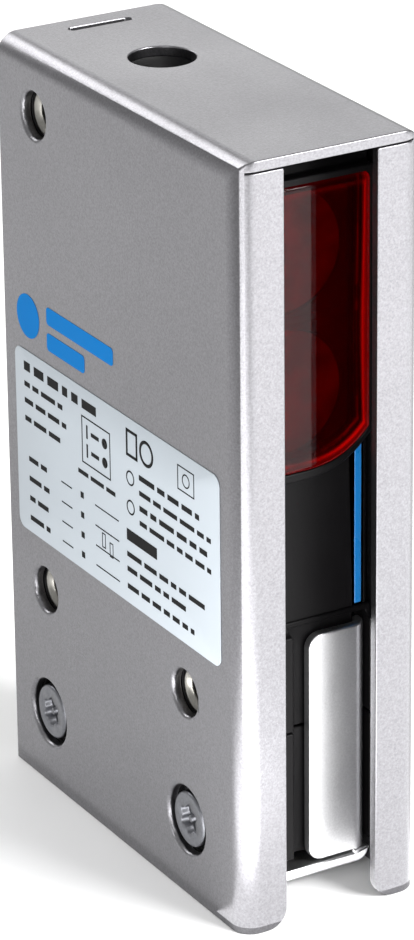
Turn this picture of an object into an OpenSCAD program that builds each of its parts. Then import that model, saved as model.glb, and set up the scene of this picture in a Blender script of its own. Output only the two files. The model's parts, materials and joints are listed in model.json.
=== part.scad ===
// Photoelectric sensor in a bent sheet protective housing, with its retainer bracket.
// The front, with the light slot, faces -Y. The origin is under the middle of the housing.

/* [Protective housing] */
// Width of the housing, left to right
house_w = 28; // [27.6:0.1:30]
// Depth of the housing, front to back
house_d = 64; // [63:0.5:70]
// Height of the housing
house_h = 110; // [109:0.5:116]
// Thickness of the housing sheet
sheet_t = 1.5; // [1.2:0.1:1.7]
// Outside radius of the bends
bend_r = 3; // [2.2:0.1:4]
// Width of each front flange
flange_w = 7; // [5:0.5:8]
// Gap between the flange tops and the front edge of the top plate
seam_gap = 0.15; // [0.05:0.05:0.4]
// Diameter of the three side holes over the mounting sleeves
mount_hole_d = 6.6; // [5.6:0.1:7.2]
// Diameter of the two side holes round the retainer screws
screw_hole_d = 9.8; // [9:0.1:11]
// Diameter of the access hole over the adjuster
access_d = 9.2; // [8:0.2:12]
// Length of the narrow slot behind the access hole
tag_slot_l = 10; // [6:1:16]
// Width of the narrow slot
tag_slot_w = 1.5; // [1:0.1:2]

/* [Places, measured back from the front and up from the bottom] */
// Front mounting hole
mount_front = 15; // [14.5:0.5:18]
// Rear mounting holes
mount_rear = 54; // [52:0.5:55]
// Lower mounting holes
mount_low = 30.5; // [30:0.5:32]
// Upper mounting hole
mount_high = 101; // [100:0.25:101]
// Height of the retainer screws
screw_z = 11.3; // [11:0.1:12]
// Access hole
access_from_front = 43; // [40:0.5:46]
// Narrow slot
tag_slot_from_front = 60; // [57:0.5:61]

/* [Sensor case] */
// Width of the sensor case
case_w = 24.6; // [24.2:0.1:24.8]
// Set-back of the window frame behind the housing front
case_front = 8.5; // [8.5:0.1:9]
// Set-back of the rear end of the case
case_rear = 60; // [60:0.25:60.5]
// Top of the case
case_top = 105.5; // [105:0.1:106]
// Wall of the case
case_wall = 1.6; // [1.4:0.1:1.8]
// Half width of the front window
win_half = 11.2; // [10.6:0.1:11.3]
// Top of the front window
win_top = 102.1; // [101:0.1:102.2]
// Lowest point of the front window
win_low = 61.9; // [60:0.1:64]
// Rise of the window's curved bottom edge from its middle to its sides
win_rise = 4.4; // [2:0.2:6]
// Width of the blue stripe
stripe_w = 1.1; // [0.8:0.1:1.6]

/* [Retainer bracket] */
// Thickness of the bracket sheet
bracket_t = 1.5; // [1.2:0.1:1.6]
// Underside of the bracket's bottom plate
bracket_z = 1.5; // [0.8:0.1:1.6]
// Top of the front tab
tab_top = 37.6; // [35:0.1:37.8]
// Left edge of the front tab
tab_left = 1.6; // [0.5:0.1:3]
// Set-back of the front tab's face
tab_front = 8.3; // [8.1:0.1:8.4]
// Height of the bracket's cheeks
cheek_h = 15.5; // [15:0.5:16]

/* [Adjuster] */
// Diameter of the adjuster's head
adjuster_d = 5; // [4.4:0.1:5.4]
// Radial clearance of the adjuster in the case
adjuster_gap = 0.05; // [0.03:0.01:0.08]

/* [Type label] */
// Length of the label
label_l = 56; // [40:1:57]
// Height of the label
label_h = 27.5; // [20:0.5:29]
// Bottom edge of the label
label_z = 38.2; // [37:0.1:39]

/* [Hidden] */
$fn = 64;
e = 0.01;
cut = 40;                                  // longer than any wall that is cut through
half_w = house_w / 2;
inner_w = half_w - sheet_t;                // inner face of a side plate
slot_half = half_w - flange_w;
case_half = case_w / 2;
step_front = case_front + 1.7;             // set-back of the case between window frame and foot
foot_front = 8.3;                          // set-back of the case's foot
foot_top = 39.6;
edge_r = 1.2;                              // upright front edges of the case
front_part_rear = step_front + edge_r + 0.3;
case_z = 24;                               // joint between the case and the connection block
block_z = 4.6;                             // underside of the connection block
win_t = 2.4;
stripe_left = case_half - 2.4;
stripe_low = 39.9;
stripe_top = 63.4;
ledge = 1.6;                               // width of the ledge the window rests on
win_front = case_front - 0.2;
cavity_front = step_front + 2.2;
cavity_top = case_top - 2.2;
sleeve_d = 7;
sleeve_bore = 4.2;                         // core of an M5 thread
boss_d = 8.8;
mounts = [[mount_front, mount_low], [mount_rear, mount_low], [mount_rear, mount_high]];
screws = [mount_front, mount_rear];
cheek_out = 11.2;                          // outer face of the bracket's cheeks
cheek_in = cheek_out - bracket_t;
bracket_r = 2.5;                           // outside radius of the bracket's bends
bracket_rear = 58;
tab_foot = 3.5;
tab_r = 2.1;
tab_return = 3;                            // depth of the tab's side behind its face
slide_gap = 0.15;                          // clearance round the bracket in the black parts
pocket_left = -0.75;                       // left side of the pocket round the tab
screw_head_d = 8;
screw_head_h = 1.8;
screw_core = 4;
washer_t = 0.6;
nut_af = 7;
nut_h = 3.2;
gland_x = 0;
gland_from_front = 34;
gland_d = 13;
gland_bore = 5.6;
carrier_d = 8;
pin_d = 1;
pin_pitch = 3.2;
lens_z = [92, 72];                         // transmitter above, receiver below
lens_d = 18;
lens_front = cavity_front + 1.5;
carrier_rear = 29;
board_t = 1.6;
baffle_z = 82;                             // between the two lenses
baffle_half = 0.55;
optics_board_front = carrier_rear + 0.4;
adjuster_from_front = access_from_front + 1.6;
pipe_from_front = access_from_front - 2.4;
pipe_d = 1.8;
pipe_x = 1.6;                              // of the two light pipes, left and right
adjuster_top = case_top - 0.4;
ring_z = case_top - 1.6;
ring_r = 0.44;
ring_mid = adjuster_d / 2 - ring_r;
control_board_z = 91.2;
pot_z = control_board_z + board_t;
pot_h = 4.8;
pot_size = 6;
led_w = 1.6;
led_d = 1.1;
main_board_x = -8;
board_front = 33;
board_rear = 48.5;
cover_t = 2;

// Distance behind the housing's front, as a Y coordinate
function back(d) = d - house_d / 2;

// Height of the window's curved bottom edge at x, for a half width, a lowest point and a rise
function edge_z(x, half, low, rise) = low + rise * pow(abs(x) / half, 2.8);

// Rectangle with round corners: r = [lower left, lower right, upper right, upper left]
module round_rect(x0, y0, x1, y1, r) {
    corners = [[x0, y0, 1, 1], [x1, y0, -1, 1], [x1, y1, -1, -1], [x0, y1, 1, -1]];
    difference() {
        translate([x0, y0]) square([x1 - x0, y1 - y0]);
        for (i = [0:3]) {
            c = corners[i];
            if (r[i] > 0) translate([c[0], c[1]]) difference() {
                translate([-c[2] * e, -c[3] * e]) mirror([c[2] < 0 ? 1 : 0, 0])
                    mirror([0, c[3] < 0 ? 1 : 0]) square(r[i] + e);
                translate([c[2] * r[i], c[3] * r[i]]) circle(r[i]);
            }
        }
    }
}

// Outline in X and Z, drawn from one set-back to another
module slab(from, to) {
    translate([0, back(to), 0]) rotate([90, 0, 0]) linear_extrude(to - from) children();
}

// Outline in set-back and Z, drawn from one X to another
module side_slab(x0, x1) {
    translate([x0, -house_d / 2, 0]) rotate([90, 0, 90]) linear_extrude(x1 - x0) children();
}

// Outline in X and set-back, drawn from one height to another
module plan_slab(z0, z1) {
    translate([0, -house_d / 2, z0]) linear_extrude(z1 - z0) children();
}

module box(x0, d0, z0, x1, d1, z1) {
    translate([x0, back(d0), z0]) cube([x1 - x0, d1 - d0, z1 - z0]);
}

// Cylinder along X
module cross_pin(d, x0, x1, from_front, z) {
    translate([x0, back(from_front), z]) rotate([0, 90, 0]) cylinder(d = d, h = x1 - x0);
}

// Cylinder along Y
module depth_pin(d, from, to, x, z) {
    translate([x, back(to), z]) rotate([90, 0, 0]) cylinder(d = d, h = to - from);
}

// Cylinder along Z
module post(d, z0, z1, x, from_front) {
    translate([x, back(from_front), z0]) cylinder(d = d, h = z1 - z0);
}

// Block with the housing's bends, inset by the sheet or not
module bent_block(inset, depth, low) {
    r = bend_r - inset;
    w = half_w - inset;
    intersection() {
        slab(inset, depth) round_rect(-w, low, w, house_h - inset, [0, 0, r, r]);
        plan_slab(low, house_h) round_rect(-w, inset, w, depth, [r, r, 0, 0]);
    }
}

module protective_housing() {
    foot_r = 3;                            // lower inner corner of a flange
    seam_end = inner_w + 0.1;
    slot_top = house_h - sheet_t;
    color([0.78, 0.79, 0.81]) difference() {
        bent_block(0, house_d, 0);
        bent_block(sheet_t, house_d + 1, -1);
        slab(-1, sheet_t + bend_r) {
            translate([-slot_half, -1]) square([2 * slot_half, slot_top + 1]);
            for (s = [-1, 1]) translate([s * (slot_half + foot_r), foot_r]) difference() {
                translate([s > 0 ? -foot_r - e : 0, -foot_r - 1]) square([foot_r + e, foot_r + 1]);
                circle(foot_r);
            }
        }
        for (s = [-1, 1]) slab(-1, sheet_t)
            translate([s > 0 ? slot_half - e : -seam_end, slot_top - seam_gap])
                square([seam_end - slot_half + e, seam_gap]);
        for (m = mounts) cross_pin(mount_hole_d, -cut / 2, cut / 2, m[0], m[1]);
        for (s = screws) cross_pin(screw_hole_d, -cut / 2, 0, s, screw_z);
        post(access_d, slot_top - 1, house_h + 1, 0, access_from_front);
        plan_slab(slot_top - 1, house_h + 1) {
            r = tag_slot_w / 2;
            translate([0, tag_slot_from_front]) {
                square([tag_slot_l - 2 * r, tag_slot_w], center = true);
                for (s = [-1, 1]) translate([s * (tag_slot_l / 2 - r), 0]) circle(r);
            }
        }
    }
}

module retainer_bracket() {
    low = bracket_z;
    top = bracket_z + cheek_h;
    inner_r = bracket_r - bracket_t;
    color([0.66, 0.67, 0.69]) difference() {
        union() {
            slab(tab_front + tab_return, bracket_rear)
                round_rect(-cheek_out, low, cheek_out, top, [bracket_r, bracket_r, 0, 0]);
            slab(tab_front, tab_front + tab_return)
                round_rect(-cheek_in, low, cheek_out, tab_foot, [0, 1.9, 0, 0]);
            intersection() {
                plan_slab(low, tab_top)
                    round_rect(tab_left, tab_front, cheek_out, tab_front + tab_return,
                        [0, bracket_r, 0, 0]);
                slab(tab_front, tab_front + tab_return)
                    round_rect(tab_left, tab_foot, cheek_out, tab_top, [tab_r, 0, 0, tab_r]);
            }
        }
        slab(tab_front + bracket_t, bracket_rear + 1)
            round_rect(-cheek_in, low + bracket_t, cheek_in, top + cut, [inner_r, inner_r, 0, 0]);
        box(-cut, tab_front - 1, low + bracket_t, cheek_in - 1, tab_front + bracket_t + e, tab_foot);
        for (s = screws) cross_pin(screw_core + 0.4, -cut / 2, 0, s, screw_z);
        post(gland_d + 3, 0, 5, gland_x, gland_from_front);
    }
}

module retainer_screws() {
    recess = 4.4;
    head_x = -cheek_out - washer_t - screw_head_h;
    color([0.42, 0.43, 0.45]) for (s = screws) {
        difference() {
            union() {
                cross_pin(screw_head_d, head_x, head_x + screw_head_h, s, screw_z);
                cross_pin(screw_core, head_x + 1, -cheek_in + nut_h + 1, s, screw_z);
            }
            difference() {
                union() {
                    cross_pin(recess * 0.72, head_x - 1, head_x + 1.2, s, screw_z);
                    for (a = [0:60:300]) translate([head_x - 1, back(s), screw_z]) rotate([a, 0, 0])
                        translate([0, recess * 0.36, 0]) rotate([0, 90, 0])
                            cylinder(d = recess * 0.28, h = 2.2, $fn = 16);
                }
                cross_pin(1.1, head_x - 2, head_x + 2, s, screw_z);
            }
        }
    }
}

module retainer_washers() {
    color([0.5, 0.5, 0.52]) for (s = screws) difference() {
        cross_pin(7.4, -cheek_out - washer_t, -cheek_out, s, screw_z);
        cross_pin(screw_core + 0.3, -cut, 0, s, screw_z);
    }
}

module retainer_nuts() {
    color([0.6, 0.6, 0.62]) for (s = screws) translate([-cheek_in, back(s), screw_z])
        rotate([0, 90, 0]) difference() {
            cylinder(d = nut_af / cos(30), h = nut_h, $fn = 6);
            translate([0, 0, -1]) cylinder(d = screw_core + 0.1, h = nut_h + 2);
        }
}

module type_label() {
    label_t = 0.12;
    left = 5;
    color([0.71, 0.74, 0.77]) side_slab(-half_w - label_t, -half_w)
        round_rect(left, label_z, left + label_l, label_z + label_h, [1.5, 1.5, 1.5, 1.5]);
}

// Plain shapes: a disc, and two stripes of unequal length in front of it
module printed_mark() {
    ink_t = 0.05;
    size = 6.4;
    middle = 71;
    disc_from_front = 57;
    stripe_h = 2.6;
    stripe_rear = 51.6;
    stripe_r = 0.6;
    color([0.03, 0.46, 0.78]) side_slab(-half_w - ink_t, -half_w) {
        translate([disc_from_front, middle]) circle(size / 2);
        for (stripe = [[33, size / 2 - stripe_h], [41, -size / 2]])
            round_rect(stripe[0], middle + stripe[1], stripe_rear, middle + stripe[1] + stripe_h,
                [stripe_r, stripe_r, stripe_r, stripe_r]);
    }
}

// Window outline: straight top, round top corners, curved bottom edge; grow widens it
module window_outline(grow) {
    half = win_half + grow;
    low = win_low - grow;
    steps = 24;
    intersection() {
        round_rect(-half, low - 1, half, win_top + grow, [0, 0, 1 + grow, 1 + grow]);
        polygon(concat([[half + 1, win_top + 9], [-half - 1, win_top + 9]],
            [for (i = [0:steps]) let (x = -half - 1 + i * (2 * half + 2) / steps)
                [x, edge_z(x, win_half, low, win_rise)]]));
    }
}

// The foot's profile, with a hollow curve up to the set-back front
module foot_profile() {
    fillet = 1.6;
    translate([foot_front, case_z])
        square([front_part_rear - foot_front, foot_top - case_z - fillet]);
    difference() {
        translate([foot_front, foot_top - fillet - e])
            square([front_part_rear - foot_front, fillet + e]);
        translate([foot_front, foot_top]) circle(fillet);
    }
}

module case_outside() {
    intersection() {
        side_slab(-case_half, case_half)
            round_rect(step_front, case_z, case_rear, case_top, [0, 0, 0, 2.5]);
        plan_slab(case_z, case_top)
            round_rect(-case_half, step_front, case_half, case_rear, [edge_r, edge_r, 0, 0]);
    }
    intersection() {
        union() {
            slab(case_front, front_part_rear) intersection() {
                window_outline(1.3);
                translate([-case_half, 0]) square([case_w, win_top + 1]);
            }
            side_slab(-case_half, case_half) foot_profile();
        }
        plan_slab(case_z, case_top)
            round_rect(-case_half, foot_front, case_half, case_rear, [edge_r, edge_r, 0, 0]);
    }
}

// The room that the bracket's tab and cheek need in the black parts
module bracket_room(z0, z1) {
    g = slide_gap;
    box(pocket_left, foot_front - 1, z0, cheek_out + g, tab_front + bracket_t + g, z1);
    box(cheek_in - g, foot_front - 1, z0, cheek_out + g, tab_front + tab_return + g, z1);
}

// Rails beside the main board and shelves under the control board
module board_rests() {
    wall = case_half - case_wall;
    for (d = [board_front + 0.5, board_rear - 1.7])
        box(-wall - e, d, case_z + 4, main_board_x, d + 1.2, control_board_z - 1.2);
    for (s = [-1, 1])
        box(s > 0 ? wall - 1.3 : -wall - e, board_front + 1, control_board_z - 1.2,
            s > 0 ? wall + e : -wall + 1.3, board_rear, control_board_z);
}

module sensor_case() {
    color([0.07, 0.07, 0.075]) difference() {
        union() {
            difference() {
                case_outside();
                box(-case_half + case_wall, cavity_front, case_z + 2,
                    case_half - case_wall, case_rear + 1, cavity_top);
            }
            for (m = mounts) cross_pin(boss_d, -case_half, case_half, m[0], m[1]);
            board_rests();
            for (p = cover_screw_places())
                depth_pin(4.2, case_rear - 9, case_rear, p[0], p[1]);
        }
        slab(case_front - 1, win_front + win_t) window_outline(0.05);
        slab(case_front, cavity_front + 1) window_outline(-ledge);
        bracket_room(case_z - 1, tab_top + 1.2);
        for (m = mounts) cross_pin(sleeve_d, -cut / 2, cut / 2, m[0], m[1]);
        post(adjuster_d + 2 * adjuster_gap, cavity_top - 1, case_top + 1, 0, adjuster_from_front);
        for (s = [-1, 1])
            post(pipe_d + 0.1, cavity_top - 1, case_top + 1, s * pipe_x, pipe_from_front);
        post(carrier_d + 0.1, case_z - 1, case_z + 3, gland_x, gland_from_front);
        box(stripe_left, step_front - 1, stripe_low, stripe_left + stripe_w, step_front + 0.3,
            stripe_top);
        for (p = cover_screw_places()) depth_pin(1.8, case_rear - 8, case_rear + 1, p[0], p[1]);
    }
}

function cover_screw_places() =
    [for (x = [-9.2, 9.2], z = [case_z + 12.5, case_top - 11.5]) [x, z]];

module cover_plug() { round_rect(-6.5, case_z + 9.6, 6.5, cavity_top - 8.4, [1, 1, 1, 1]); }

module rear_cover() {
    color([0.08, 0.08, 0.085]) difference() {
        union() {
            slab(case_rear + 0.1, case_rear + cover_t)
                round_rect(-case_half, case_z, case_half, case_top, [1, 1, 1, 1]);
            slab(case_rear - 1.4, case_rear + 0.2) cover_plug();
        }
        for (p = cover_screw_places()) {
            depth_pin(2.4, case_rear - 3, case_rear + 3, p[0], p[1]);
            depth_pin(4.2, case_rear + cover_t - 1.2, case_rear + 4, p[0], p[1]);
        }
    }
}

module cover_seal() {
    color([0.2, 0.2, 0.2]) slab(case_rear, case_rear + 0.1) difference() {
        round_rect(-case_half, case_z, case_half, case_top, [1, 1, 1, 1]);
        cover_plug();
        for (p = cover_screw_places()) translate([p[0], p[1]]) circle(d = 2.4);
    }
}

module cover_screws() {
    color([0.7, 0.7, 0.7]) for (p = cover_screw_places()) difference() {
        union() {
            depth_pin(1.8, case_rear - 6, case_rear + 1.4, p[0], p[1]);
            depth_pin(3.8, case_rear + cover_t - 1.2, case_rear + cover_t, p[0], p[1]);
        }
        box(p[0] - 0.3, case_rear + cover_t - 0.6, p[1] - 1.4, p[0] + 0.3, case_rear + 4, p[1] + 1.4);
        box(p[0] - 1.4, case_rear + cover_t - 0.6, p[1] - 0.3, p[0] + 1.4, case_rear + 4, p[1] + 0.3);
    }
}

module front_window() {
    color([0.55, 0.02, 0.04]) slab(win_front, win_front + win_t - 0.25) window_outline(0);
}

module window_seal() {
    color([0.15, 0.15, 0.15]) slab(win_front + win_t - 0.25, win_front + win_t) difference() {
        window_outline(0);
        window_outline(-ledge);
    }
}

module blue_stripe() {
    color([0, 0.5, 0.8]) box(stripe_left, step_front - 0.1, stripe_low, stripe_left + stripe_w,
        step_front + 0.3, stripe_top);
}

module mounting_sleeves() {
    color([0.72, 0.7, 0.66]) for (m = mounts) difference() {
        cross_pin(sleeve_d, -case_half + 0.1, case_half - 0.1, m[0], m[1]);
        cross_pin(sleeve_bore, -cut / 2, cut / 2, m[0], m[1]);
    }
}

module optics_carrier() {
    half = case_half - case_wall - 0.3;
    low = win_low + 1.5;
    high = cavity_top - 0.6;
    ledge_back = lens_front + 5;
    color([0.12, 0.12, 0.12]) difference() {
        box(-half, cavity_front + 0.1, low, half, carrier_rear, high);
        for (z = lens_z) {
            depth_pin(lens_d + 0.1, cavity_front - 1, ledge_back, 0, z);
            translate([0, back(ledge_back - e), z]) rotate([-90, 0, 0])
                cylinder(d1 = lens_d - 2, d2 = 6, h = carrier_rear - ledge_back - 1);
            depth_pin(5.4, carrier_rear - 3, carrier_rear + 1, 0, z);
        }
        box(-half + 0.7, cavity_front - 1, baffle_z - baffle_half - 0.05, half - 0.7,
            carrier_rear - 2, baffle_z + baffle_half + 0.05);
    }
}

module light_baffle() {
    half = case_half - case_wall - 0.3;
    color([0.05, 0.05, 0.05])
        box(-half + 0.75, cavity_front + 0.1, baffle_z - baffle_half, half - 0.75,
            carrier_rear - 2.1, baffle_z + baffle_half);
}

// Plano-convex lens with a cylindrical rim, its flat side towards the chip
module lens(z) {
    rim = 1.6;
    crown_r = 15.5;
    sag = crown_r - sqrt(pow(crown_r, 2) - pow(lens_d / 2, 2));
    translate([0, back(lens_front + 5), z]) rotate([90, 0, 0]) intersection() {
        cylinder(d = lens_d, h = rim + sag);
        translate([0, 0, rim + sag - crown_r]) sphere(crown_r, $fn = 96);
    }
}

module transmitter_lens() { color([0.85, 0.9, 0.92]) lens(lens_z[0]); }
module receiver_lens() { color([0.85, 0.9, 0.92]) lens(lens_z[1]); }

module polariser(z) {
    depth_pin(lens_d - 0.6, cavity_front + 0.3, cavity_front + 0.7, 0, z);
}
module transmitter_polariser() { color([0.3, 0.32, 0.3]) polariser(lens_z[0]); }
module receiver_polariser() { color([0.3, 0.3, 0.33]) polariser(lens_z[1]); }

// Small clear package with a domed front, soldered to the optics board
module chip(z, d) {
    translate([0, back(optics_board_front), z]) rotate([90, 0, 0]) {
        cylinder(d = d, h = 1.2);
        translate([0, 0, 1.2]) intersection() {
            sphere(d = d - 0.8);
            cylinder(d = d, h = d);
        }
    }
}
module transmitter_led() { color([0.9, 0.3, 0.25]) chip(lens_z[0], 4); }
module receiver_diode() { color([0.25, 0.22, 0.22]) chip(lens_z[1], 4.6); }

module optics_board() {
    half = case_half - case_wall - 0.4;
    color([0.05, 0.32, 0.16])
        box(-half, optics_board_front, win_low + 1.5, half, optics_board_front + board_t, cavity_top - 2);
}

module main_board() {
    color([0.05, 0.34, 0.17])
        box(main_board_x, board_front, case_z + 4, main_board_x + board_t, board_rear,
            control_board_z - 0.5);
}

module control_board() {
    half = case_half - case_wall - 0.4;
    color([0.05, 0.34, 0.17])
        box(-half, board_front, control_board_z, half, board_rear + 0.5, control_board_z + board_t);
}

// Five square pins between the optics board and the main board
module board_link() {
    pitch = 2.54;
    pin_w = 0.6;
    lowest = 66;
    color([0.85, 0.75, 0.4]) for (i = [0:4])
        box(main_board_x + 0.5, optics_board_front + board_t, lowest + pitch * i,
            main_board_x + 0.5 + pin_w, board_front, lowest + pitch * i + pin_w);
}

// Chips on the main board: [set-back, height, depth, height of the package, thickness]
module board_components() {
    face = main_board_x + board_t;
    chips = [[36, 58, 8, 10, 1.4], [36.5, 74, 5, 5, 1], [38, 44, 6.6, 6.5, 2.2]];
    small_chips = [for (z = [54, 71, 82]) [45.5, z, 1.5, 2.4, 0.8]];
    capacitor_d = 6.3;
    capacitor_l = 7;
    color([0.1, 0.1, 0.1]) {
        for (c = concat(chips, small_chips))
            box(face, c[0], c[1], face + c[4], c[0] + c[2], c[1] + c[3]);
        cross_pin(capacitor_d, face, face + capacitor_l, 41, 36);
    }
}

module potentiometer_body() {
    half = pot_size / 2;
    color([0.12, 0.2, 0.5]) difference() {
        box(-half, adjuster_from_front - half, pot_z, half, adjuster_from_front + half,
            pot_z + pot_h);
        post(4.1, pot_z + 1, pot_z + pot_h + 1, 0, adjuster_from_front);
    }
}

module potentiometer_rotor() {
    color([0.9, 0.9, 0.85]) difference() {
        post(4, pot_z + 1.05, pot_z + pot_h, 0, adjuster_from_front);
        box(-0.55, adjuster_from_front - 1.6, pot_z + 2.6, 0.55, adjuster_from_front + 1.6, pot_z + 9);
    }
}

module sensitivity_adjuster() {
    shaft_d = 3.4;
    color([0.16, 0.16, 0.17]) difference() {
        union() {
            post(adjuster_d, cavity_top - 0.6, adjuster_top, 0, adjuster_from_front);
            post(shaft_d, pot_z + pot_h + 0.1, cavity_top - 0.5, 0, adjuster_from_front);
            box(-0.5, adjuster_from_front - 1.5, pot_z + 2.7, 0.5, adjuster_from_front + 1.5,
                pot_z + pot_h + 0.2);
        }
        box(-0.45, adjuster_from_front - 3, adjuster_top - 0.9, 0.45, adjuster_from_front + 3,
            adjuster_top + 1);
        translate([0, back(adjuster_from_front), ring_z]) rotate_extrude()
            translate([ring_mid, 0]) circle(ring_r + 0.04);
    }
}

module adjuster_ring() {
    color([0.05, 0.05, 0.05]) translate([0, back(adjuster_from_front), ring_z])
        rotate_extrude() translate([ring_mid, 0]) circle(ring_r);
}

module status_leds() {
    color([0.9, 0.75, 0.2]) for (s = [-1, 1])
        box(s * pipe_x - led_w / 2, pipe_from_front - led_d / 2, pot_z, s * pipe_x + led_w / 2,
            pipe_from_front + led_d / 2, pot_z + 0.8);
}

module light_pipe() {
    color([0.85, 0.87, 0.85]) {
        for (s = [-1, 1])
            post(pipe_d, cavity_top - 5.9, case_top - 0.1, s * pipe_x, pipe_from_front);
        box(-pipe_x - pipe_d / 2, pipe_from_front - pipe_d / 2, cavity_top - 1.6,
            pipe_x + pipe_d / 2, pipe_from_front + pipe_d / 2, cavity_top - 0.1);
    }
}

module connection_block() {
    g = slide_gap;
    color([0.06, 0.06, 0.065]) difference() {
        plan_slab(block_z, case_z - 0.2)
            round_rect(-case_half, foot_front, case_half, case_rear + cover_t, [1.2, 1.2, 1, 1]);
        bracket_room(block_z - 1, case_z + 1);
        for (s = [-1, 1]) box(s > 0 ? cheek_in - g : -cheek_out - g, foot_front + 1.6, block_z - 1,
            s > 0 ? cheek_out + g : -cheek_in + g, bracket_rear + 0.3, bracket_z + cheek_h + 0.3);
        for (s = screws) {
            cross_pin(screw_hole_d, -cut / 2, -cheek_out, s, screw_z);
            cross_pin(nut_af / cos(30) + 0.6, -cheek_out, -cheek_in + nut_h + 1.5, s, screw_z);
        }
        post(9.2, block_z - 1, case_z + 1, gland_x, gland_from_front);
        post(gland_d + 1, block_z - 1, block_z + 3, gland_x, gland_from_front);
    }
}

module block_seal() {
    color([0.2, 0.2, 0.2]) plan_slab(case_z - 0.2, case_z) difference() {
        round_rect(-10, 14, 10, 56, [2, 2, 2, 2]);
        translate([gland_x, gland_from_front]) circle(d = 9.4);
    }
}

// Insulator in the floor of the case, which holds the four pins of the lead
module pin_carrier() {
    color([0.25, 0.25, 0.26]) difference() {
        post(carrier_d, case_z, case_z + 2, gland_x, gland_from_front);
        pins(pin_d + 0.1);
    }
}

module pins(d) {
    for (x = [-pin_pitch / 2, pin_pitch / 2], b = [-pin_pitch / 2, pin_pitch / 2])
        post(d, case_z - 3, case_z + 5, gland_x + x, gland_from_front + b);
}

module terminal_pins() { color([0.8, 0.68, 0.35]) pins(pin_d); }

module gland_nut() {
    low = 0.6;
    color([0.1, 0.1, 0.1]) difference() {
        union() {
            translate([gland_x, back(gland_from_front), low]) cylinder(d = gland_d, h = 3.6, $fn = 6);
            post(9, low + 3, block_z + 6, gland_x, gland_from_front);
        }
        post(7.4, low + 1.2, block_z + 7, gland_x, gland_from_front);
        post(gland_bore + 0.6, 0, block_z, gland_x, gland_from_front);
    }
}

module gland_seal() {
    color([0.02, 0.02, 0.02]) difference() {
        post(7.3, 1.9, block_z + 5.5, gland_x, gland_from_front);
        post(gland_bore, 0, block_z + 9, gland_x, gland_from_front);
    }
}

protective_housing();
retainer_bracket();
retainer_screws();
retainer_washers();
retainer_nuts();
type_label();
printed_mark();
sensor_case();
rear_cover();
cover_seal();
cover_screws();
front_window();
window_seal();
blue_stripe();
mounting_sleeves();
optics_carrier();
light_baffle();
transmitter_lens();
receiver_lens();
transmitter_polariser();
receiver_polariser();
transmitter_led();
receiver_diode();
optics_board();
main_board();
control_board();
board_link();
board_components();
potentiometer_body();
potentiometer_rotor();
sensitivity_adjuster();
adjuster_ring();
status_leds();
light_pipe();
connection_block();
block_seal();
pin_carrier();
terminal_pins();
gland_nut();
gland_seal();
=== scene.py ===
import json
import math

import bmesh
import bpy
import numpy as np
from mathutils import Euler, Matrix, Vector


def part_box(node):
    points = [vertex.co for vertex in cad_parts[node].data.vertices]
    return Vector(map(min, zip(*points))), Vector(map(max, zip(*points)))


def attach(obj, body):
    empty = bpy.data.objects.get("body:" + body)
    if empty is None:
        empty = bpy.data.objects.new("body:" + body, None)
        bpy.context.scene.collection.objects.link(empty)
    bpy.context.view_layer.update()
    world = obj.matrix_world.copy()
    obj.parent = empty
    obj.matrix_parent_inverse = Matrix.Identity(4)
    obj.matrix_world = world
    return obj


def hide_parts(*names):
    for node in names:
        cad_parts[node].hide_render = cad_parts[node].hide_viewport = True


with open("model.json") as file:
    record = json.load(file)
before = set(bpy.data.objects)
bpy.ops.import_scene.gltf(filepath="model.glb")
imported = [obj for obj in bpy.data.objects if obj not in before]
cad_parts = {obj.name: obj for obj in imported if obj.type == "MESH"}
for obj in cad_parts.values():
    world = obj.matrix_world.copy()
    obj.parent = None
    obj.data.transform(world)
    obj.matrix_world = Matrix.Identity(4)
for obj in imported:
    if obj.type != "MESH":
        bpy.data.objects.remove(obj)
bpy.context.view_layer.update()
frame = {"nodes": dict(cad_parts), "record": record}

mm = 0.001
sleevePlaces = [m["pos_m"] for m in frame["record"]["mounts"] if m["kind"] == "threaded_hole"]
slots = {entry["node"]: entry["material_slot"] for entry in frame["record"]["subparts"]}
print("frame loaded:", len(frame["nodes"]), "nodes")

# Camera: place in metres, angles in degrees, lens and sensor in millimetres
view = {"place": (-0.2905, -0.5003, 0.3014), "azimuth": -30.125, "elevation": 23.171, "roll": -0.66,
        "lens": 176.2, "sensor": 36, "nearest": 0.01}

# Area lamps: place, aim and size in metres, power in watts. The panels lie on the floor, where the metal
# mirrors them. No lamp shows to the camera.
lights = {
    "bendLight": {"place": (-0.95, -1.05, 0.45), "aim": (0, 0, 0.06), "size": (0.16, 1.2), "power": 7},
    "bendPanel": {"place": (-0.12, -0.15, 0.018), "aim": (-0.053, -0.076, 1.018), "size": (0.09, 0.3),
                  "power": 0.38},
    "sidePanel": {"place": (-0.06, 0.03, 0.001), "aim": (-0.06, 0.03, 1), "size": (0.09, 0.13),
                  "power": 0.011},
    "frontPanel": {"place": (0.16, -0.255, 0.001), "aim": (0.16, -0.255, 1), "size": (0.38, 0.46),
                   "power": 1.08},
    "floorLight": {"place": (0.45, -0.75, 0.6), "aim": (0.15, -0.25, 0), "size": (0.5, 0.5), "power": 17},
    "topLight": {"place": (0.6, 1.1, 0.6), "aim": (0, 0, 0.1), "size": (0.6, 0.6), "power": 1.5},
    "rearLight": {"place": (-0.3, 1.15, 0.85), "aim": (0, 0, 0.1), "size": (0.85, 0.4), "power": 7},
}
studio = {"floorRadius": 5.0, "floorRings": 24, "floorSides": 64, "backdrop": "#FFFFFF", "strength": 0.6}


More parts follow.
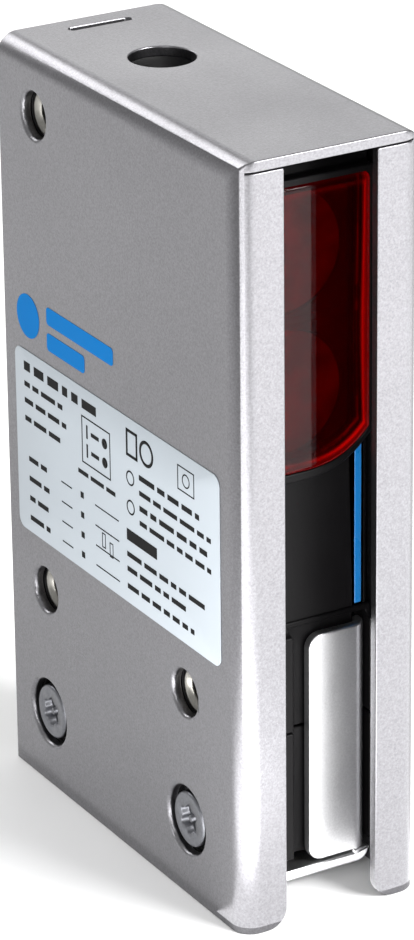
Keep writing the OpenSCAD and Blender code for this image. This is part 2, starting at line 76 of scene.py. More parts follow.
# Camera turned by azimuth and elevation, then rolled about its own line of sight
def makeCamera(v):
    data = bpy.data.cameras.new("viewCamera")
    data.lens = v["lens"]
    data.sensor_width = v["sensor"]
    data.clip_start = v["nearest"]
    cam = bpy.data.objects.new("viewCamera", data)
    turn = Euler((math.radians(90 - v["elevation"]), 0, math.radians(v["azimuth"]))).to_matrix()
    cam.rotation_euler = (turn @ Matrix.Rotation(math.radians(v["roll"]), 3, "Z")).to_euler()
    cam.location = v["place"]
    bpy.context.scene.collection.objects.link(cam)
    bpy.context.scene.camera = cam


# Rectangular lamp at its place, facing its aim
def makeLight(name, lamp):
    data = bpy.data.lights.new(name, "AREA")
    data.shape = "RECTANGLE"
    data.size, data.size_y = lamp["size"]
    data.energy = lamp["power"]
    light = bpy.data.objects.new(name, data)
    light.location = lamp["place"]
    light.visible_camera = False
    aim = Vector(lamp["aim"]) - Vector(lamp["place"])
    light.rotation_euler = aim.to_track_quat("-Z", "Y").to_euler()
    bpy.context.scene.collection.objects.link(light)


# Meshes: distances in metres, angles in degrees
sameSpot = 1e-7      # points of a new piece nearer than this are one
rounding = {"weld": 2e-6, "sliver": 1e-6, "flat": 0.4, "sharp": 62, "shortest": 0.16 * mm}


# One quad grid from an array of points (rows, columns, 3), joined end to end where asked
def gridFaces(rows, cols, closeCols=False, closeRows=False, start=0):
    r = np.arange(rows if closeRows else rows - 1)
    c = np.arange(cols if closeCols else cols - 1)
    i, j = np.meshgrid(r, c, indexing="ij")
    i2, j2 = (i + 1) % rows, (j + 1) % cols
    quads = np.stack([i * cols + j, i * cols + j2, i2 * cols + j2, i2 * cols + j], -1)
    return quads.reshape(-1, 4) + start


# Object from points and faces; doubles at poles and seams are merged and faces turned outwards
def makePiece(name, points, faces, smooth=True, attributes=None):
    mesh = bpy.data.meshes.new(name)
    mesh.from_pydata(np.asarray(points, float).reshape(-1, 3).tolist(), [], np.asarray(faces).tolist())
    for key, value in (attributes or {}).items():
        values = np.asarray(value, np.float32).ravel()
        mesh.attributes.new(key, "FLOAT", "POINT").data.foreach_set("value", values)
    bm = bmesh.new()
    bm.from_mesh(mesh)
    bmesh.ops.remove_doubles(bm, verts=bm.verts, dist=sameSpot)
    bmesh.ops.dissolve_degenerate(bm, edges=bm.edges, dist=sameSpot)
    bmesh.ops.recalc_face_normals(bm, faces=bm.faces)
    bm.to_mesh(mesh)
    bm.free()
    mesh.polygons.foreach_set("use_smooth", [smooth] * len(mesh.polygons))
    piece = bpy.data.objects.new(name, mesh)
    bpy.context.scene.collection.objects.link(piece)
    return piece


# Gives a piece its material and its body, and hides the CAD nodes that it stands for
def finishPiece(piece, material, body, slot, *nodes):
    piece.data.materials.clear()
    piece.data.materials.append(material)
    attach(piece, body)
    if nodes:
        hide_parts(*nodes)


# Merged copy of a CAD node's mesh with its sharp outer arrises rounded: share(edge middle) gives the
# share of the full width that an edge gets
def roundedCopy(node, name, width, segments, share=None):
    mesh = frame["nodes"][node].data.copy()
    mesh.name = name
    bm = bmesh.new()
    bm.from_mesh(mesh)
    bmesh.ops.remove_doubles(bm, verts=bm.verts, dist=rounding["weld"])
    bmesh.ops.dissolve_degenerate(bm, edges=bm.edges, dist=rounding["sliver"])
    bmesh.ops.dissolve_limit(bm, angle_limit=math.radians(rounding["flat"]), verts=bm.verts, edges=bm.edges)
    bmesh.ops.recalc_face_normals(bm, faces=bm.faces)
    weight = bm.edges.layers.float.new("bevel_weight_edge")
    for edge in bm.edges:
        sharp = len(edge.link_faces) == 2 and edge.calc_face_angle(0) > math.radians(rounding["sharp"])
        if sharp and edge.is_convex and edge.calc_length() > rounding["shortest"]:
            middle = (edge.verts[0].co + edge.verts[1].co) / 2
            edge[weight] = 1.0 if share is None else share(middle)
    bm.to_mesh(mesh)
    bm.free()
    mesh.polygons.foreach_set("use_smooth", [True] * len(mesh.polygons))
    piece = bpy.data.objects.new(name, mesh)
    bpy.context.scene.collection.objects.link(piece)
    bevel = piece.modifiers.new("arrises", "BEVEL")
    bevel.width = width
    bevel.segments = segments
    bevel.limit_method = "WEIGHT"
    bevel.use_clamp_overlap = False
    bevel.harden_normals = True
    piece.modifiers.new("evenShading", "WEIGHTED_NORMAL").keep_sharp = True
    return piece


# Real sizes of the slow patterns, and the sockets of a Mix node that blends colours
patternSize = {"cloud": 22 * mm, "drift": 9 * mm, "sheetWave": 6 * mm, "mouldWave": 3 * mm, "track": 5 * mm,
               "peel": 0.8 * mm, "wear": 14 * mm}
mixBy, mixFrom, mixTo, mixOut = 0, 6, 7, 2


# sRGB hex to linear colour
def colour(hexText):
    parts = [int(hexText[i:i + 2], 16) / 255 for i in (1, 3, 5)]
    return [p / 12.92 if p <= 0.04045 else ((p + 0.055) / 1.055) ** 2.4 for p in parts] + [1]


# Adds a node: settings are its own properties, inputs its sockets, each a value or another node's output
def addNode(mat, kind, inputs=None, **settings):
    node = mat.node_tree.nodes.new(kind)
    for key, value in settings.items():
        setattr(node, key, value)
    for key, value in (inputs or {}).items():
        if isinstance(value, bpy.types.NodeSocket):
            mat.node_tree.links.new(value, node.inputs[key])
        else:
            node.inputs[key].default_value = value
    return node


# A new material with its shader; returns the material, its shader and its object coordinates
def newMaterial(name, **sockets):
    mat = bpy.data.materials.new(name)
    mat.use_nodes = True
    shader = mat.node_tree.nodes["Principled BSDF"]
    for key, value in sockets.items():
        shader.inputs[key.replace("_", " ")].default_value = value
    place = addNode(mat, "ShaderNodeTexCoord").outputs["Object"]
    return mat, shader, place


# Links node outputs into the shader's sockets, named with _ for a space
def linkInto(mat, shader, **outputs):
    for key, value in outputs.items():
        mat.node_tree.links.new(value, shader.inputs[key.replace("_", " ")])


# Blasted sheet metal: even satin with a fine speckle of pits and a faint cloudiness. The grain is drawn
# as coarse as it needs to show, not at a measured size.
def blastedMetal(name, base, dark, light, rough, grain, bump):
    mat, shader, place = newMaterial(name, Metallic=1.0)
    speckle = addNode(mat, "ShaderNodeTexNoise", {"Vector": place, "Scale": 1 / grain, "Detail": 3,
                                                  "Roughness": 0.7})
    cloud = addNode(mat, "ShaderNodeTexNoise", {"Vector": place, "Scale": 1 / patternSize["cloud"],
                                                "Detail": 2})
    tone = addNode(mat, "ShaderNodeValToRGB", {"Fac": speckle.outputs["Fac"]})
    darkEnd, lightEnd = tone.color_ramp.elements
    darkEnd.position = 0.3
    darkEnd.color = colour(dark)
    lightEnd.position = 0.72
    lightEnd.color = colour(light)
    mixed = addNode(mat, "ShaderNodeMix", {mixBy: 0.5, mixFrom: colour(base), mixTo: tone.outputs["Color"]},
                    data_type="RGBA")
    satin = addNode(mat, "ShaderNodeMapRange", {"Value": cloud.outputs["Fac"], "From Min": 0.3,
                                                "From Max": 0.7, "To Min": rough - 0.03,
                                                "To Max": rough + 0.04})
    pits = addNode(mat, "ShaderNodeBump", {"Height": speckle.outputs["Fac"], "Strength": bump,
                                           "Distance": grain * 0.25})
    linkInto(mat, shader, Base_Color=mixed.outputs[mixOut], Roughness=satin.outputs["Result"],
             Normal=pits.outputs["Normal"])
    return mat


# Moulded plastic or rubber: even base with a fine spark-eroded grain that breaks up its gloss
def mouldedPlastic(name, base, rough, grain, bump, **sockets):
    mat, shader, place = newMaterial(name, **sockets)
    grit = addNode(mat, "ShaderNodeTexNoise", {"Vector": place, "Scale": 1 / grain, "Detail": 2,
                                               "Roughness": 0.6})
    drift = addNode(mat, "ShaderNodeTexNoise", {"Vector": place, "Scale": 1 / patternSize["drift"],
                                                "Detail": 3})
    shine = addNode(mat, "ShaderNodeMapRange", {"Value": drift.outputs["Fac"], "From Min": 0.3,
                                                "From Max": 0.7, "To Min": rough - 0.05,
                                                "To Max": rough + 0.06})
    lighter = [min(1, 1.25 * c + 0.002) for c in colour(base)[:3]] + [1]
    tone = addNode(mat, "ShaderNodeMix", {mixBy: grit.outputs["Fac"], mixFrom: colour(base), mixTo: lighter},
                   data_type="RGBA")
    relief = addNode(mat, "ShaderNodeBump", {"Height": grit.outputs["Fac"], "Strength": bump,
                                             "Distance": grain * 0.2})
    linkInto(mat, shader, Base_Color=tone.outputs[mixOut], Roughness=shine.outputs["Result"],
             Normal=relief.outputs["Normal"])
    return mat


# Red acrylic of the window: clear and glossy, with a painted glow along its cut edges: a brighter red
# and a faint red emission stand in for the light that the edges gather. Its IOR is below acrylic's 1.49,
# which keeps the mirrored floor faint.
def redAcrylic(paintedEdgeColour, bodyColour):
    mat, shader, place = newMaterial("redAcrylic", Roughness=0.03, IOR=1.22)
    # painted edge glow: where this attribute is high the tint turns a brighter red, the acrylic turns less
    # clear and it emits red light
    rim = addNode(mat, "ShaderNodeAttribute", attribute_name="rim")
    edge = addNode(mat, "ShaderNodeMapRange", {"Value": rim.outputs["Fac"], "From Min": 0.0, "From Max": 1.0})
    tint = addNode(mat, "ShaderNodeMix", {mixBy: edge.outputs["Result"], mixFrom: colour(bodyColour),
                                          mixTo: colour(paintedEdgeColour)}, data_type="RGBA")
    clear = addNode(mat, "ShaderNodeMapRange", {"Value": rim.outputs["Fac"], "To Min": 0.98, "To Max": 0.5})
    glow = addNode(mat, "ShaderNodeMath", {0: rim.outputs["Fac"], 1: 0.17}, operation="MULTIPLY")
    waves = addNode(mat, "ShaderNodeTexNoise", {"Vector": place, "Scale": 1 / patternSize["sheetWave"],
                                                "Detail": 1})
    ripple = addNode(mat, "ShaderNodeBump", {"Height": waves.outputs["Fac"], "Strength": 0.04,
                                             "Distance": 0.2 * mm})
    # red light of the painted edge glow
    shader.inputs["Emission Color"].default_value = colour("#D80400")
    linkInto(mat, shader, Base_Color=tint.outputs[mixOut], Transmission_Weight=clear.outputs["Result"],
             Emission_Strength=glow.outputs["Value"], Normal=ripple.outputs["Normal"])
    return mat


# Clear moulded plastic: faint tint, smooth, with the slight waviness of a moulding
def clearPlastic(name, tint, rough, clear=0.92):
    mat, shader, place = newMaterial(name, Roughness=rough, IOR=1.49, Transmission_Weight=clear)
    waves = addNode(mat, "ShaderNodeTexNoise", {"Vector": place, "Scale": 1 / patternSize["mouldWave"],
                                                "Detail": 1})
    tone = addNode(mat, "ShaderNodeMix", {mixBy: waves.outputs["Fac"], mixFrom: colour(tint),
                                          mixTo: colour("#F2F4F4")}, data_type="RGBA")
    ripple = addNode(mat, "ShaderNodeBump", {"Height": waves.outputs["Fac"], "Strength": 0.05,
                                             "Distance": 0.1 * mm})
    linkInto(mat, shader, Base_Color=tone.outputs[mixOut], Normal=ripple.outputs["Normal"])
    return mat


# Solder mask over copper tracks: green lacquer with slightly raised, lighter tracks
def solderMask():
    mat, shader, place = newMaterial("solderMask", Roughness=0.32, IOR=1.5)
    tracks = addNode(mat, "ShaderNodeTexBrick", {"Vector": place, "Scale": 1 / patternSize["track"],
                                                 "Mortar Size": 0.05, "Color1": colour("#0B4A26"),
                                                 "Color2": colour("#0D5A2E"), "Mortar": colour("#2E7D46")})
    rise = addNode(mat, "ShaderNodeBump", {"Height": tracks.outputs["Fac"], "Strength": 0.3,
                                           "Distance": 0.05 * mm})
    linkInto(mat, shader, Base_Color=tracks.outputs["Color"], Normal=rise.outputs["Normal"])
    return mat


# Printed polyester film or ink: even tint with a very faint orange peel
def printedFilm(name, base, rough, sheen):
    mat, shader, place = newMaterial(name, IOR=1.5, Specular_IOR_Level=sheen)
    peel = addNode(mat, "ShaderNodeTexNoise", {"Vector": place, "Scale": 1 / patternSize["peel"],
                                               "Detail": 2})
    wear = addNode(mat, "ShaderNodeTexNoise", {"Vector": place, "Scale": 1 / patternSize["wear"],
                                               "Detail": 3})
    paler = [min(1, 1.06 * c) for c in colour(base)[:3]] + [1]
    tone = addNode(mat, "ShaderNodeMix", {mixBy: wear.outputs["Fac"], mixFrom: colour(base), mixTo: paler},
                   data_type="RGBA")
    gloss = addNode(mat, "ShaderNodeMapRange", {"Value": wear.outputs["Fac"], "To Min": rough - 0.06,
                                                "To Max": rough + 0.06})
    relief = addNode(mat, "ShaderNodeBump", {"Height": peel.outputs["Fac"], "Strength": 0.06,
                                             "Distance": 0.1 * mm})
    linkInto(mat, shader, Base_Color=tone.outputs[mixOut], Roughness=gloss.outputs["Result"],
             Normal=relief.outputs["Normal"])
    return mat


# Finishes by material slot
finishes = {
    # metals: name, base, dark and light speckle, roughness, grain, depth of the pits
    "anodised_sheet": blastedMetal("blastedAnodisedAluminium", "#79787B", "#636265", "#909093",
                                   0.3, 0.3 * mm, 0.4),
    "bracket_sheet": blastedMetal("blastedStainlessSheet", "#F0F0F1", "#DADADB", "#FAFAFB",
                                  0.36, 0.3 * mm, 0.4),
    "screw_steel": blastedMetal("blackenedSteel", "#6E6F73", "#5E5F63", "#828388", 0.34, 0.4 * mm, 0.2),
    "bright_steel": blastedMetal("brightZincSteel", "#B4B5B8", "#A4A5A8", "#C6C7CA", 0.26, 0.6 * mm, 0.1),
    "insert_metal": blastedMetal("nickelPlatedBrass", "#8F8D88", "#807E79", "#A09E98", 0.3, 0.6 * mm, 0.1),
    "pin_gold": blastedMetal("goldFlash", "#D8B56A", "#C9A65C", "#E6C57E", 0.25, 0.5 * mm, 0.08),
    # moulded plastics and rubber: name, base, roughness, grain, depth of the grain
    "black_plastic": mouldedPlastic("blackGlassFilledNylon", "#050405", 0.46, 0.28 * mm, 0.25, IOR=1.53,
                                    Specular_IOR_Level=0.11),
    "dark_plastic": mouldedPlastic("greyPolycarbonate", "#4A4A4C", 0.4, 0.3 * mm, 0.2, IOR=1.58),
    "component_black": mouldedPlastic("epoxyPackage", "#17171A", 0.5, 0.25 * mm, 0.2, IOR=1.55),
    "black_rubber": mouldedPlastic("nitrileRubber", "#121213", 0.62, 0.35 * mm, 0.3, IOR=1.52),
    "trimmer_blue": mouldedPlastic("blueThermoset", "#1B3C8C", 0.42, 0.3 * mm, 0.15, IOR=1.55),
    "white_plastic": mouldedPlastic("whiteNylon", "#D8D6CC", 0.4, 0.3 * mm, 0.15, IOR=1.53),
    "stripe_blue": mouldedPlastic("blueAcrylicStrip", "#0A6FB4", 0.28, 0.5 * mm, 0.05, IOR=1.49),
    # clear parts, board, film and ink, window
    "clear_plastic": clearPlastic("clearAcrylic", "#E4ECEC", 0.04),
    "polariser_film": clearPlastic("polarisingFilm", "#4A4A4C", 0.2, 0.2),
    "board_green": solderMask(),
    "label_film": printedFilm("labelPolyester", "#A3AAB0", 0.5, 0.15),
    "ink_blue": printedFilm("blueScreenInk", "#0064A5", 0.6, 0.06),
    # the window's first colour is the brighter red of its painted edge glow
    "red_window": redAcrylic("#A80604", "#940408"),
}
blackInk = printedFilm("blackScreenInk", "#0B0B0C", 0.6, 0.1)
frostedEnd = mouldedPlastic("frostedAcrylic", "#8C8C8E", 0.6, 0.3 * mm, 0.2, IOR=1.49)
floorPaint = printedFilm("paleFloor", "#F6F6F6", 0.8, 0.1)

for node, slot in slots.items():
    frame["nodes"][node].data.materials.clear()
    frame["nodes"][node].data.materials.append(finishes[slot])
frame["nodes"]["light_pipe"].data.materials[0] = frostedEnd      # its end mirrors less than clear acrylic
print("materials made:", len(finishes))

# Protective housing: radius of its arrises and of the rims of its side holes
housing = {"arris": 0.22 * mm, "holeRim": 0.6 * mm, "segments": 4, "onFace": 1e-5}
housingLow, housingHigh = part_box("protective_housing")


# Share of the rim's radius: all of it on the outer faces of the sides, but not at their back and bottom
def housingShare(middle):
    onSide = abs(abs(middle.x) - housingHigh.x) < housing["onFace"]
    inside = middle.y < housingHigh.y - mm and middle.z > housingLow.z + mm
    return 1.0 if onSide and inside else housing["arris"] / housing["holeRim"]


sheet = roundedCopy("protective_housing", "housingSheet", housing["holeRim"], housing["segments"],
                    housingShare)
finishPiece(sheet, finishes["anodised_sheet"], "sensor", "anodised_sheet", "protective_housing")
print("housing done")

# CAD nodes with softened arrises: piece name, body, radius of the arrises, segments
softened = {
    "sensor_case": ("caseShell", "sensor", 0.3 * mm, 3),
    "connection_block": ("connectionBlock", "sensor", 0.3 * mm, 3),
    "rear_cover": ("rearLid", "sensor", 0.4 * mm, 3),
    "retainer_bracket": ("bracketSheet", "sensor", 0.28 * mm, 3),
    "gland_nut": ("glandNut", "sensor", 0.3 * mm, 2),
    "sensitivity_adjuster": ("adjusterHead", "adjuster", 0.18 * mm, 3),
    "cover_screws": ("lidScrews", "sensor", 0.12 * mm, 2),
    "blue_stripe": ("blueStrip", "sensor", 0.15 * mm, 2),
}
for node, (name, body, radius, segments) in softened.items():
    finishPiece(roundedCopy(node, name, radius, segments), finishes[slots[node]], body, slots[node], node)
print("black parts and bracket done")

# Front window: its outline, its rounded edge, and where its edges get a painted glow
window = {"edge": 0.55 * mm, "edgeSteps": 6, "corner": 1.0 * mm, "cornerSteps": 9, "rise": 4.4 * mm,
          "power": 2.8, "bottomSteps": 61, "sideSteps": 32, "topSteps": 24, "rings": 48, "crowding": 1.8,
          "innerBand": 1.25 * mm, "bandWidth": 0.3 * mm, "faint": 0.12, "sideFall": 0.7, "lowFrom": -0.15,
          "lowGain": 1.5, "otherGain": 0.8, "brightest": 1.5}


# Outline of the window: a curved bottom edge (lowest + rise * |x / half| ^ power), straight sides,
# quarter circles at the top corners; returned as x, z and the outward direction at each point
def windowOutline(w):
    low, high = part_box("front_window")
    half, r = high.x, w["corner"]
    x = np.linspace(-half, half, w["bottomSteps"])
    bottom = np.stack([x, low.z + w["rise"] * np.abs(x / half) ** w["power"]], 1)
    side = np.linspace(low.z + w["rise"], high.z - r, w["sideSteps"])[1:-1]
    turn = np.linspace(0, np.pi / 2, w["cornerSteps"])
    across = np.linspace(half - r, -half + r, w["topSteps"])[1:-1]
    right = np.stack([np.full(side.size, half), side], 1)
    rightTop = np.stack([half - r + r * np.cos(turn), high.z - r + r * np.sin(turn)], 1)
    top = np.stack([across, np.full(across.size, high.z)], 1)
    leftTop = rightTop[::-1] * [-1, 1]
    left = right[::-1] * [-1, 1]
    loop = np.concatenate([bottom, right, rightTop, top, leftTop, left])
    along = np.roll(loop, -1, 0) - np.roll(loop, 1, 0)
    along /= np.linalg.norm(along, axis=1)[:, None]
    return loop, np.stack([along[:, 1], -along[:, 0]], 1)


# Rings from the middle of the back, round both quarter-round edges, to the middle of the front. The
# painted edge glow, kept as a point attribute, is a bell curve of the distance from the edge and from
# the inner band, strongest at the lower corners, then along the sides.
def windowPiece(w):
    low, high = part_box("front_window")
    loop, outward = windowOutline(w)
    middle = loop.mean(0)
    edge = w["edge"]
    a = np.linspace(0, np.pi / 2, w["edgeSteps"])
    inset = np.concatenate([edge * (1 - np.sin(a)), edge * (1 - np.cos(a))])
    depth = np.concatenate([high.y - edge * (1 - np.cos(a)), low.y + edge * (1 - np.sin(a))])
    k = 1 - (1 - np.linspace(0, 1, w["rings"])[:-1]) ** w["crowding"]
    rims = [loop - outward * i for i in inset]
    back = [middle + (rims[0] - middle) * s for s in k]
    front = [middle + (rims[-1] - middle) * s for s in k[::-1]]
    rings = back + rims + front
    ys = [high.y] * k.size + list(depth) + [low.y] * k.size
    reach = np.array([np.linalg.norm(ring - loop, axis=1) for ring in rings])
    # painted glow: bright bands along the edge and along the inner band
    bands = np.exp(-(reach / w["bandWidth"]) ** 2) + np.exp(-((reach - w["innerBand"]) / w["bandWidth"]) ** 2)
    gain = np.where(outward[:, 1] < w["lowFrom"], w["lowGain"], w["otherGain"])
    rim = np.clip(bands * (w["faint"] + np.abs(outward[:, 0]) ** w["sideFall"] * gain), 0, w["brightest"])
    points = np.stack([np.column_stack([r[:, 0], np.full(len(r), y), r[:, 1]]) for r, y in zip(rings, ys)])
    return makePiece("windowPane", points, gridFaces(points.shape[0], points.shape[1], closeCols=True),
                     attributes={"rim": rim})


finishPiece(windowPiece(window), finishes["red_window"], "sensor", "red_window", "front_window")
print("window done")

# Mounting sleeves and retainer screws: radii unless the name says otherwise
sleeve = {"outer": 3.5 * mm, "core": 2.1 * mm, "pitch": 0.8 * mm, "stepsPerPitch": 4, "depth": 0.3 * mm,
          "chamfer": 0.45 * mm, "mouth": 0.25 * mm, "around": 48}
screw = {"lobes": 6, "lobeDepth": 0.24 * mm, "recess": 1.95 * mm, "recessDepth": 1.15 * mm,
         "recessTaper": 0.9, "recessMouth": 0.12 * mm, "pin": 0.52 * mm, "pinTaper": 0.8,
         "pinDrop": 0.25 * mm, "chamfer": 0.1 * mm, "edge": 0.45 * mm, "edgeSteps": 7,
         "headHeight": 1.8 * mm, "shank": 2 * mm, "tip": 0.4 * mm, "around": 96}


# A profile of (radius, distance along) carried round an axis along X through y, z. Where a wave is
# given, wave * cos(lobes * angle) is added to the radius.
def turned(profile, y, z, around, wave=0, lobes=0):
    theta = np.linspace(0, 2 * np.pi, around, endpoint=False)
    radius = profile[:, None, 0] + wave * np.cos(lobes * theta)
    x = profile[:, None, 1] * np.ones(around)
    return np.stack([x, y + radius * np.cos(theta), z + radius * np.sin(theta)], -1)


# One piece from several grids, each closed round; closeRows also joins the last row to the first
def joinShells(name, shells, closeRows=False):
    points, faces, start = [], [], 0
    for shell in shells:
        points.append(shell.reshape(-1, 3))
        faces.append(gridFaces(shell.shape[0], shell.shape[1], True, closeRows, start))
        start += points[-1].shape[0]
    return makePiece(name, np.concatenate(points), np.concatenate(faces))


# Bore with plain ridges in place of a helical thread: the radius swings between core and core + depth
# along a triangle wave of the pitch
def sleeveProfile(s):
    low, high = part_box("mounting_sleeves")
    x = np.arange(low.x + s["chamfer"], high.x - s["chamfer"], s["pitch"] / s["stepsPerPitch"])
    swing = s["depth"] * np.abs(((x - x[0]) / s["pitch"]) % 1 * 2 - 1)
    bore = np.stack([s["core"] + swing, x], 1)
    wide = s["core"] + s["depth"] + s["chamfer"]
    ends = [(wide, high.x), (s["outer"] - s["mouth"], high.x), (s["outer"], high.x - s["mouth"]),
            (s["outer"], low.x + s["mouth"]), (s["outer"] - s["mouth"], low.x), (wide, low.x)]
    return np.concatenate([bore, np.array(ends)])


# Screw from the pin in the recess, over the rounded head and along the shank to its end, as rows of
# radius, distance along and depth of the lobes
def screwShell(s, y, z, head, low, high):
    recessFloor = low + s["recessDepth"]
    under = low + s["headHeight"]
    pinTop = low + s["pinDrop"]
    bevel, lobe = s["chamfer"], s["lobeDepth"]
    rows = [(0, pinTop, 0), (s["pin"] * s["pinTaper"], pinTop, 0), (s["pin"], pinTop + bevel, 0),
            (s["pin"], recessFloor, 0), (s["recess"] * s["recessTaper"], recessFloor, lobe),
            (s["recess"], recessFloor - bevel, lobe), (s["recess"], low + s["recessMouth"], lobe),
            (s["recess"] + s["recessMouth"], low, lobe)]
    rows += [(head - s["edge"] * (1 - math.sin(t)), low + s["edge"] * (1 - math.cos(t)), 0)
             for t in np.linspace(0, np.pi / 2, s["edgeSteps"])]
    rows += [(head, under - bevel, 0), (head - bevel, under, 0), (s["shank"], under, 0),
             (s["shank"], high - s["tip"], 0), (s["shank"] - s["tip"], high, 0), (0, high, 0)]
    profile = np.array(rows)
    return turned(profile[:, :2], y, z, s["around"], -profile[:, 2:], s["lobes"])


bore = sleeveProfile(sleeve)
sleeves = joinShells("threadedSleeves", [turned(bore, y, z, sleeve["around"]) for _, y, z in sleevePlaces],
                     closeRows=True)
finishPiece(sleeves, finishes["insert_metal"], "sensor", "insert_metal", "mounting_sleeves")

screwsLow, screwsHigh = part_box("retainer_screws")
headRadius = (screwsHigh.z - screwsLow.z) / 2
screwZ = (screwsLow.z + screwsHigh.z) / 2
screws = joinShells("retainerScrews", [screwShell(screw, y, screwZ, headRadius, screwsLow.x, screwsHigh.x)
                                       for y in (screwsLow.y + headRadius, screwsHigh.y - headRadius)])
finishPiece(screws, finishes["screw_steel"], "sensor", "screw_steel", "retainer_screws")
print("screws and sleeves done")

# Type label: its film, and plain bars, frames and rings in place of print. The print is laid out in
# millimetres from the label's back and top edges.
label = {"corner": 1.5 * mm, "cornerSteps": 9, "lift": 0.012 * mm, "ink": 0.02 * mm, "edge": 0.05 * mm,
         "ringSteps": 40}
words = {"shortest": 1.4, "longest": 4.2, "leastRoom": 0.8, "gap": 0.25, "gapPerHeight": 0.65}
labelPrint = {
    "title": (2.6, 1.7, 21, 1.35),                  # start, top, length, height
    "lines": [(2.6, 4.7, 11, 0.75), (2.6, 7.2, 12, 0.75), (2.6, 9.9, 11, 0.75), (17.8, 12.4, 10.4, 0.65),
              (34.8, 7.3, 16, 0.8), (34.8, 9.6, 19, 0.7), (34.8, 11.8, 18, 0.8), (34.8, 14.0, 19, 0.7),
              (31.2, 19.8, 21, 0.75), (31.2, 22.0, 17, 0.75), (31.2, 24.6, 18, 0.75)],
    "block": (31.2, 16.4, 8.2, 1.7),
    "listTops": (16.2, 19.2, 22.2, 25.2),           # each row of the list: a word, then dash, square, line
    "listWord": (3.4, 0.35, 5.8, 0.75),             # start, rise above the row, length, height
    "listMarks": [(12.8, 0, 3.0, 0.2), (18.3, 0.45, 0.9, 0.9), (22.4, 0, 6.6, 0.2)],
    "smallFrames": [(24.2, 19.7, 1.0, 2.2, 0.17), (26.3, 20.4, 1.0, 2.2, 0.17)],      # and stroke
    "diagramFrame": (19.0, 4.1, 8.0, 7.0, 0.22),
    "diagramMarks": [(20.3, 5.2, 0.4, 2.0), (20.3, 8.0, 0.4, 2.0), (21.6, 5.9, 2.2, 0.6),
                     (21.6, 8.7, 2.2, 0.6)],
    "signFrames": [(31.4, 1.6, 3.1, 4.0, 0.45), (45.2, 1.9, 4.4, 3.6, 0.2)],
    "rings": [(36.9, 3.6, 1.9, 1.4), (47.4, 3.7, 1.0, 0.8), (32.4, 8.7, 1.1, 0.85), (32.4, 13.0, 1.1, 0.85),
              (25.4, 6.2, 0.75, 0.02), (25.4, 9.0, 0.75, 0.02)],      # centre, outer and inner radius
}
labelLow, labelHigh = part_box("type_label")
inkBase, inkFace = labelLow.x + label["lift"], labelLow.x - label["ink"]


# Rounded rectangle film: rings from the middle out to the quarter-circle corners, then down its
# softened edge
def filmPiece(f, low, high):
    r = f["corner"]
    turn = np.linspace(0, np.pi / 2, f["cornerSteps"])
    corners = [(high.y - r, high.z - r, turn), (low.y + r, high.z - r, turn + np.pi / 2),
               (low.y + r, low.z + r, turn + np.pi), (high.y - r, low.z + r, turn + 1.5 * np.pi)]
    loop = np.concatenate([np.stack([y + r * np.cos(t), z + r * np.sin(t)], 1) for y, z, t in corners])
    middle = loop.mean(0)
    # share of the outline's size, and x
    stages = [(0, low.x), (0.5, low.x), (0.998, low.x), (0.9995, low.x + 0.3 * f["edge"]),
              (1, low.x + f["edge"]), (1, high.x), (0.5, high.x), (0, high.x)]
    points = np.stack([np.column_stack([np.full(len(loop), x), *(middle + (loop - middle) * k).T])
                       for k, x in stages])
    return makePiece("labelFilm", points, gridFaces(len(stages), len(loop), True))


# Ink slabs: each bar is (from the back edge, from the top edge, length, height) in millimetres
def inkBars(name, bars):
    b = np.array(bars) * mm
    y0, y1 = labelHigh.y - b[:, 0], labelHigh.y - b[:, 0] - b[:, 2]
    z0, z1 = labelHigh.z - b[:, 1], labelHigh.z - b[:, 1] - b[:, 3]
    points = np.stack([np.column_stack([np.full(len(b), x), y, z])
                       for x in (inkBase, inkFace) for y, z in ((y0, z0), (y1, z0), (y1, z1), (y0, z1))], 1)
    slab = np.array([(0, 1, 2, 3), (4, 7, 6, 5), (0, 4, 5, 1), (1, 5, 6, 2), (2, 6, 7, 3), (3, 7, 4, 0)])
    faces = (slab[None] + 8 * np.arange(len(b))[:, None, None]).reshape(-1, 4)      # 8 corners to a slab
    return makePiece(name, points, faces, smooth=False)


# A line of print as plain word-length bars, with lengths from a seeded draw
def printedRow(rng, start, top, length, height):
    row, at = [], start
    while at < start + length - words["leastRoom"]:
        word = min(rng.uniform(words["shortest"], words["longest"]), start + length - at)
        row.append((at, top, word, height))
        at += word + words["gapPerHeight"] * height + words["gap"]
    return row


# Outline of a box as four bars
def barFrame(start, top, length, height, stroke):
    return [(start, top, length, stroke), (start, top + height - stroke, length, stroke),
            (start, top, stroke, height), (start + length - stroke, top, stroke, height)]


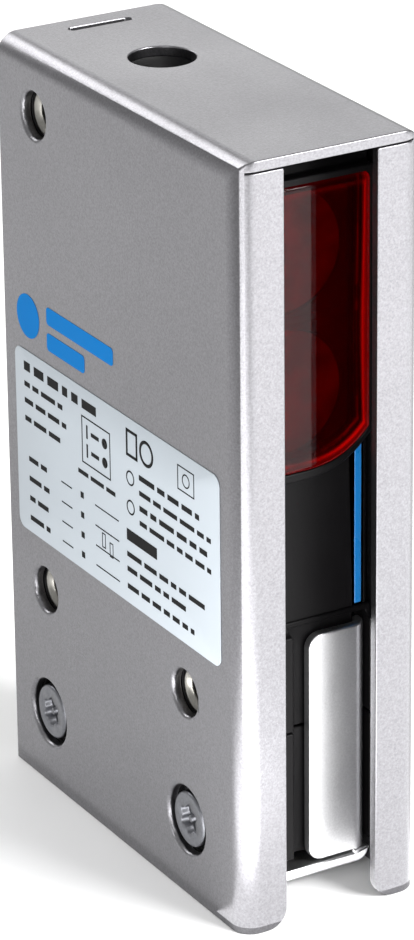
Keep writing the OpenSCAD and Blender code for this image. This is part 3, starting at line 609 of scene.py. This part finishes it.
# Flat rings and discs of ink: each section is a rectangle between the inner and outer radius, carried
# round a circle
def inkRings(name, rings):
    shells = []
    for across, down, outer, inner in rings:
        section = np.array([(inner * mm, inkBase), (inner * mm, inkFace), (outer * mm, inkFace),
                            (outer * mm, inkBase)])
        shells.append(turned(section, labelHigh.y - across * mm, labelHigh.z - down * mm, label["ringSteps"]))
    return joinShells(name, shells, True)


draw = np.random.default_rng(11)
bars = printedRow(draw, *labelPrint["title"])
for line in labelPrint["lines"]:
    bars += printedRow(draw, *line)
bars += [labelPrint["block"]]
for rowTop in labelPrint["listTops"]:
    start, rise, length, height = labelPrint["listWord"]
    bars += printedRow(draw, start, rowTop - rise, length, height)
    for start, rise, length, height in labelPrint["listMarks"]:
        bars.append((start, rowTop - rise, length, height))
for box in labelPrint["smallFrames"] + [labelPrint["diagramFrame"]]:
    bars += barFrame(*box)
bars += labelPrint["diagramMarks"]
for box in labelPrint["signFrames"]:
    bars += barFrame(*box)
film = filmPiece(label, labelLow, labelHigh)
finishPiece(film, finishes["label_film"], "sensor", "label_film", "type_label")
finishPiece(inkBars("labelBars", bars), blackInk, "sensor", "label_film")
finishPiece(inkRings("labelRings", labelPrint["rings"]), blackInk, "sensor", "label_film")
print("label done:", len(bars), "bars")


# Disc of rings that crowd towards the middle: radius * share ^ 2 at each share of the way out
def floorDisc(s):
    radius = s["floorRadius"] * np.linspace(0, 1, s["floorRings"]) ** 2
    theta = np.linspace(0, 2 * np.pi, s["floorSides"], endpoint=False)
    flat = np.zeros((radius.size, theta.size))
    disc = np.stack([radius[:, None] * np.cos(theta), radius[:, None] * np.sin(theta), flat], -1)
    return makePiece("paleFloor", disc, gridFaces(radius.size, theta.size, closeCols=True))


makeCamera(view)
for name, lamp in lights.items():
    makeLight(name, lamp)
world = bpy.data.worlds.new("studio")
bpy.context.scene.world = world
world.use_nodes = True
backdrop = world.node_tree.nodes["Background"]
backdrop.inputs["Color"].default_value = colour(studio["backdrop"])
backdrop.inputs["Strength"].default_value = studio["strength"]
bpy.context.scene.view_settings.view_transform = "Standard"      # keeps the whites and the red clean

floor = floorDisc(studio)
floor.data.materials.append(floorPaint)
print("stage done")
